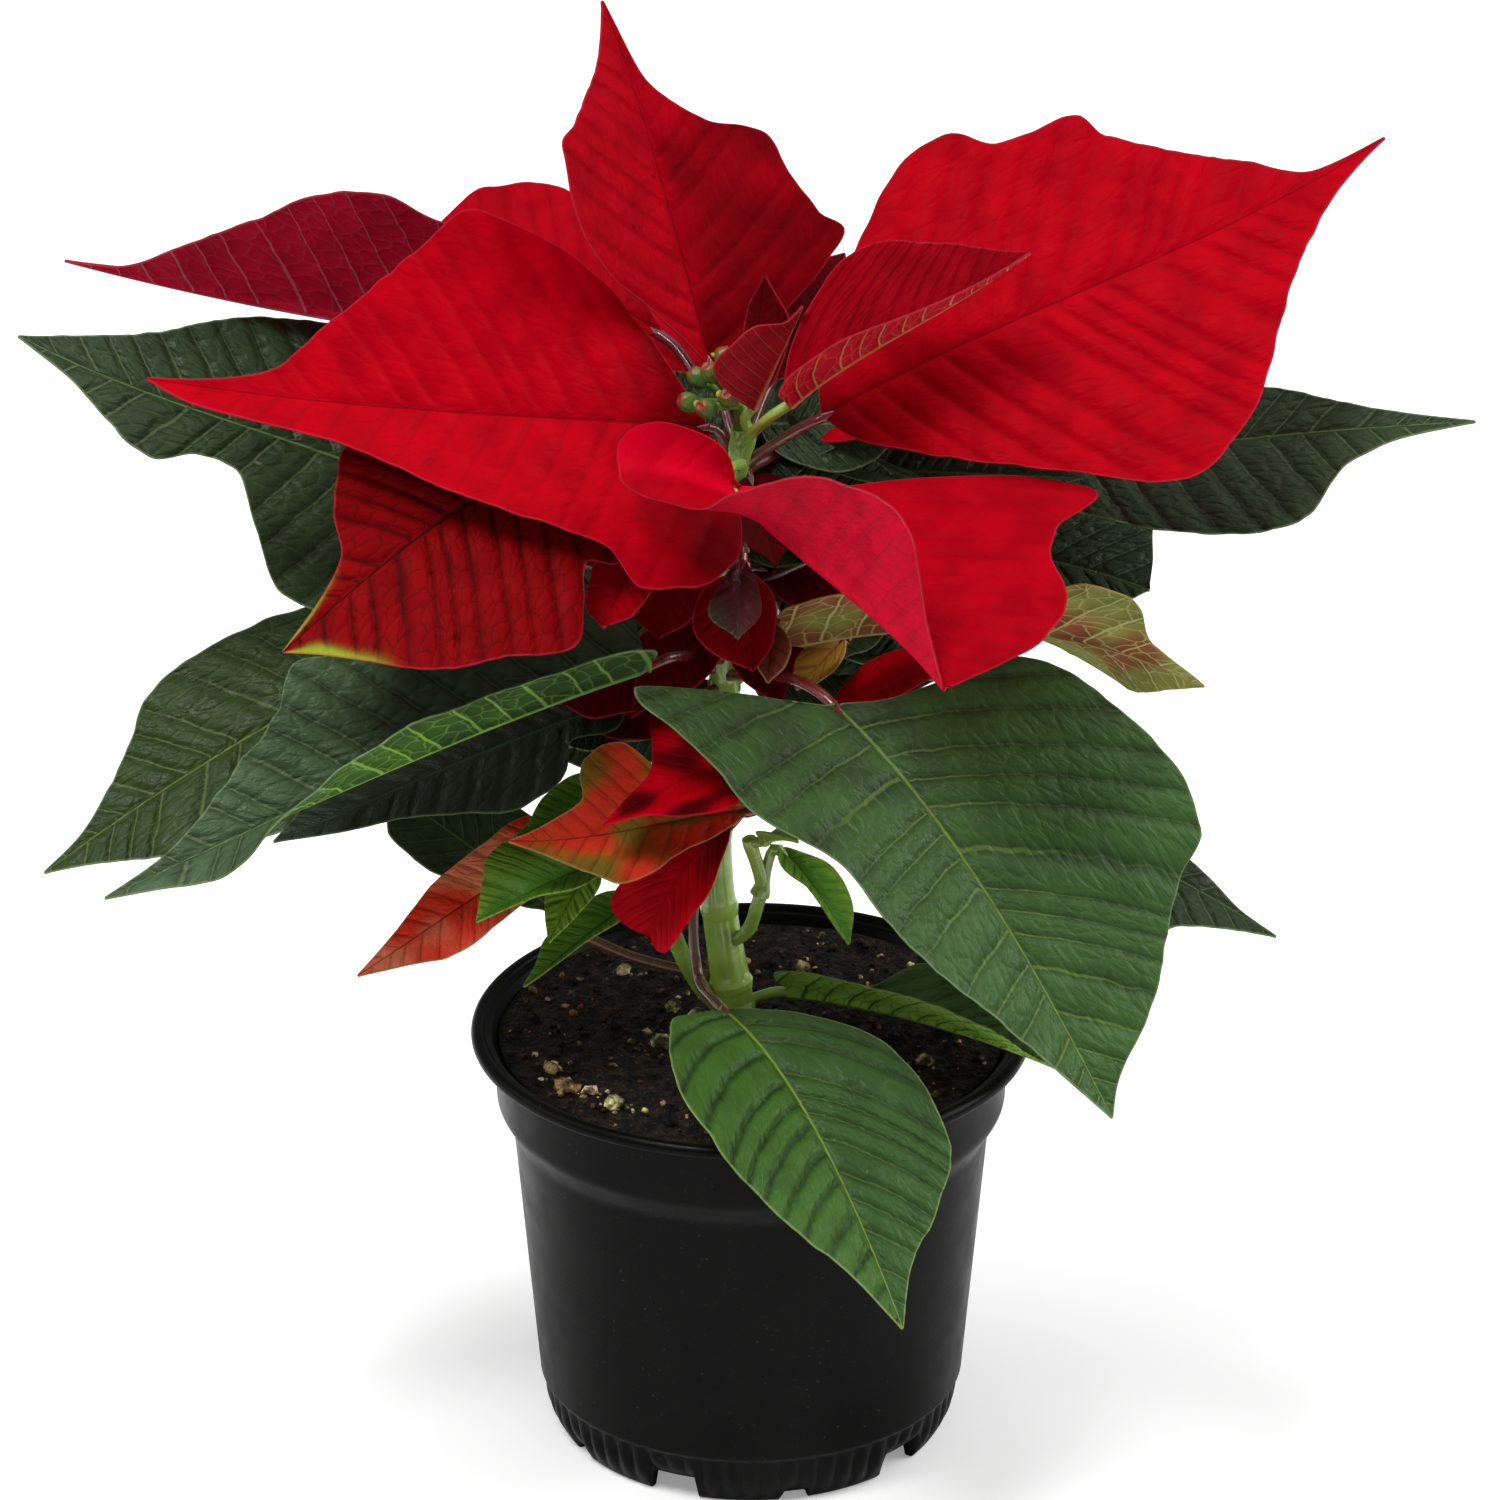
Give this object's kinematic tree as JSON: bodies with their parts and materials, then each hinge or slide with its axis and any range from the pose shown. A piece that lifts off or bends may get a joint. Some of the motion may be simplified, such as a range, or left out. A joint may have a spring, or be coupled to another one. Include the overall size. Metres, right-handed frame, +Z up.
{
  "type": "potted poinsettia",
  "caption": "Poinsettia with red and dark green leaves, in a black round nursery pot of soil.",
  "frame": {"origin": "centre of the plant's box, at the level that the pot stands on; it lies on the pot's axis", "axes": "+Z up along the pot's axis, -Y towards the front, +X to the right as seen from the front"},
  "size_m": [0.3252, 0.209, 0.3379],
  "materials": {
    "pot_black": "satin",
    "soil": "matte",
    "stem_green": "satin",
    "cyathium": "satin",
    "bract_red": "satin",
    "bract_turning": "satin",
    "leaf_green": "satin",
    "leaf_young": "satin"
  },
  "bodies": {
    "root": {"pot": "pot_black", "soil": "soil", "stem": "stem_green", "cyathia": "cyathium", "bract_top": "bract_red", "bract_right": "bract_red", "bract_right_small": "bract_red", "bract_left": "bract_red", "bract_front": "bract_red", "bract_back_left": "bract_red", "bract_far_left": "bract_red", "bract_centre": "bract_red", "bract_centre_back": "bract_red", "bract_gap": "bract_red", "bract_lower_left": "bract_red", "bract_under": "bract_red", "turning_right": "bract_turning", "turning_small": "bract_turning", "turning_curl": "bract_turning", "inner_red_a": "bract_red", "inner_red_b": "bract_red", "inner_red_c": "bract_red", "inner_red_d": "bract_red", "inner_green": "leaf_green", "inner_leaf_dark": "leaf_green", "spray_orange": "bract_turning", "spray_red_upper": "bract_red", "spray_red_lower": "bract_red", "spray_orange_left": "bract_turning", "spray_green_a": "leaf_young", "spray_green_b": "leaf_young", "spray_green_c": "leaf_young", "spray_green_d": "leaf_green", "shoot_leaf_a": "leaf_young", "shoot_leaf_b": "leaf_young", "leaf_upper_left": "leaf_green", "leaf_lower_left": "leaf_green", "leaf_front_left": "leaf_green", "leaf_dark_left": "leaf_green", "leaf_low_left": "leaf_green", "leaf_right_front": "leaf_green", "leaf_over_rim": "leaf_young", "leaf_on_soil": "leaf_young", "leaf_upper_right": "leaf_green", "leaf_mid_right": "leaf_green", "leaf_right_behind": "leaf_green", "leaf_centre_right": "leaf_green", "leaf_gap_right": "leaf_green", "bract_back_right": "bract_red", "bract_back": "bract_red", "bract_back_far_left": "bract_red", "leaf_back_right": "leaf_green", "leaf_back": "leaf_green", "leaf_back_left": "leaf_green"}
  },
  "joints": []
}
